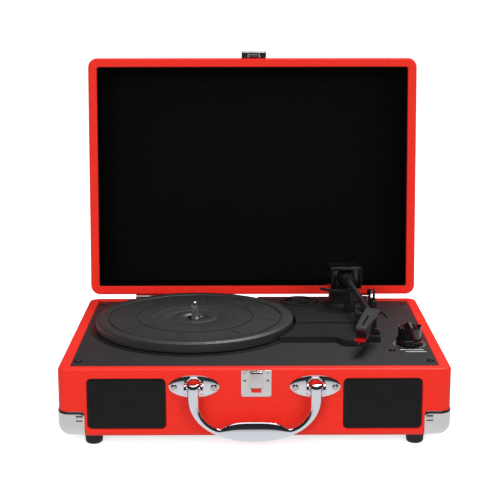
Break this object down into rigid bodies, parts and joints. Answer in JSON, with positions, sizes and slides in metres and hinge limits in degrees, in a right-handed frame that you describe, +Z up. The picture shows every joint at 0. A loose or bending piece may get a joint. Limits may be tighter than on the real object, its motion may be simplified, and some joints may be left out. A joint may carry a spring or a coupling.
{
  "type": "suitcase record player",
  "caption": "Portable belt driven record player in a red leatherette suitcase: hinged lid, carrying handle, front speakers, platter, pivoted tonearm, volume knob and metal corners.",
  "frame": {"origin": "on the floor under the middle of the whole player, its lid open", "axes": "+Z up, +X to the user's right, +Y to the back; the user stands at -Y"},
  "size_m": [0.3564, 0.3616, 0.3389],
  "materials": {
    "red_vinyl": "grained leatherette, satin",
    "deck_vinyl": "fine grained black",
    "lining": "black flock",
    "chrome": "polished",
    "nickel": "bright nickel plated sheet",
    "dark_chrome": "dark nickel plated",
    "black_plastic": "moulded, fine texture",
    "platter_plastic": "moulded dark grey, satin",
    "shell_grey": "satin grey",
    "gloss_black": "glossy",
    "black_rubber": "matt",
    "mesh": "perforated, black",
    "steel": "turned",
    "brass": "turned",
    "nylon": "natural nylon",
    "cone_paper": "pressed paper",
    "magnet": "ferrite",
    "board_green": "solder mask",
    "stylus_red": "clear red plastic",
    "led_red": "diffused lens",
    "panel_wood": "black covered fibreboard",
    "white_print": "screen printed marks"
  },
  "bodies": {
    "case": {"base_box": "red_vinyl", "base_bottom": "panel_wood", "bottom_screws": "steel", "feet": "black_rubber", "base_corners": "nickel", "speaker_grille_left": "mesh", "speaker_grille_right": "mesh", "speaker_baskets": "magnet", "speaker_cones": "cone_paper", "speaker_magnets": "magnet", "deck_plate": "deck_vinyl", "deck_screws": "gloss_black", "mech_plate": "black_plastic", "spindle": "steel", "spindle_clip": "chrome", "thrust_washer": "nylon", "motor": "steel", "drive_belt": "black_rubber", "tonearm_base": "black_plastic", "arm_rest": "black_plastic", "cue_cylinder": "black_plastic", "volume_pot": "steel", "headphone_socket": "gloss_black", "power_led": "led_red", "amp_board": "board_green", "jack_plate": "black_plastic", "rca_jacks": "steel", "dc_inlet": "black_plastic", "latch_plate": "nickel", "handle_brackets": "chrome", "bracket_screws": "nickel", "handle_pins": "steel", "hinge_base_leaves": "nickel", "hinge_pins": "steel"},
    "lid": {"lid_box": "red_vinyl", "lid_lining": "lining", "lid_corners": "nickel", "hinge_lid_leaves": "nickel", "hasp_plate": "dark_chrome"},
    "hasp": {"hasp_lever": "dark_chrome"},
    "handle": {"handle": "chrome"},
    "platter": {"platter": "platter_plastic", "bearing_bush": "brass", "platter_pads": "black_rubber"},
    "motor_rotor": {"motor_shaft": "steel", "motor_pulley": "brass"},
    "arm_carriage": {"arm_yoke": "black_plastic", "arm_pivot_pin": "steel"},
    "arm": {"arm_tube": "black_plastic", "headshell": "shell_grey", "cartridge": "black_plastic", "stylus": "stylus_red", "finger_lift": "black_plastic"},
    "volume": {"volume_knob": "gloss_black", "knob_shaft": "steel"},
    "cue_lever": {"cue_lever": "gloss_black"},
    "cue_lift": {"cue_lift": "black_plastic"},
    "rest_clip": {"rest_clip": "black_plastic"},
    "speed_switch": {"speed_switch": "black_plastic"},
    "adapter": {"adapter_45": "black_plastic"}
  },
  "joints": [
    {"name": "lid_hinge", "type": "hinge", "parent": "case", "child": "lid", "pos_m": [0, 0.09513, 0.0742], "axis": [1, 0, 0], "range_deg": [0, 96.5]},
    {"name": "hasp_swing", "type": "hinge", "parent": "lid", "child": "hasp", "pos_m": [0.0015, 0.12842, 0.33632], "axis": [1, 0, 0], "range_deg": [0, 175]},
    {"name": "handle_swing", "type": "hinge", "parent": "case", "child": "handle", "pos_m": [0, -0.17577, 0.059], "axis": [-1, 0, 0], "range_deg": [0, 150]},
    {"name": "platter_spin", "type": "hinge", "parent": "case", "child": "platter", "pos_m": [-0.059, -0.01877, 0.084], "axis": [0, 0, -1], "continuous": true},
    {"name": "motor_spin", "type": "hinge", "parent": "case", "child": "motor_rotor", "pos_m": [-0.1184, 0.04063, 0.073], "axis": [0, 0, -1], "continuous": true},
    {"name": "arm_swing", "type": "hinge", "parent": "case", "child": "arm_carriage", "pos_m": [0.095, 0.04373, 0.08], "axis": [0, 0, -1], "range_deg": [0, 52]},
    {"name": "arm_lift", "type": "hinge", "parent": "arm_carriage", "child": "arm", "pos_m": [0.095, 0.04373, 0.112], "axis": [-0.9877, -0.1564, 0], "range_deg": [0, 8]},
    {"name": "cue_turn", "type": "hinge", "parent": "case", "child": "cue_lever", "pos_m": [0.1184, 0.01573, 0.083], "axis": [1, 0, 0], "range_deg": [0, 60]},
    {"name": "cue_raise", "type": "slide", "parent": "case", "child": "cue_lift", "axis": [0, 0, 1], "range_m": [0, 0.003]},
    {"name": "clip_turn", "type": "hinge", "parent": "case", "child": "rest_clip", "pos_m": [0.1177, -0.04827, 0.1058], "axis": [0, -1, 0], "range_deg": [0, 80]},
    {"name": "volume_turn", "type": "hinge", "parent": "case", "child": "volume", "pos_m": [0.149, -0.08227, 0.073], "axis": [0, 0, -1], "range_deg": [0, 300]},
    {"name": "speed_slide", "type": "slide", "parent": "case", "child": "speed_switch", "axis": [-1, 0, 0], "range_m": [0, 0.008]},
    {"name": "adapter_lift", "type": "slide", "parent": "case", "child": "adapter", "axis": [0, 0, 1], "range_m": [0, 0.028]}
  ],
  "couplings": [
    {"joint": "motor_spin", "follows": "platter_spin", "ratio": 17},
    {"joint": "cue_raise", "follows": "cue_turn", "m_per_rad": 0.00286}
  ]
}
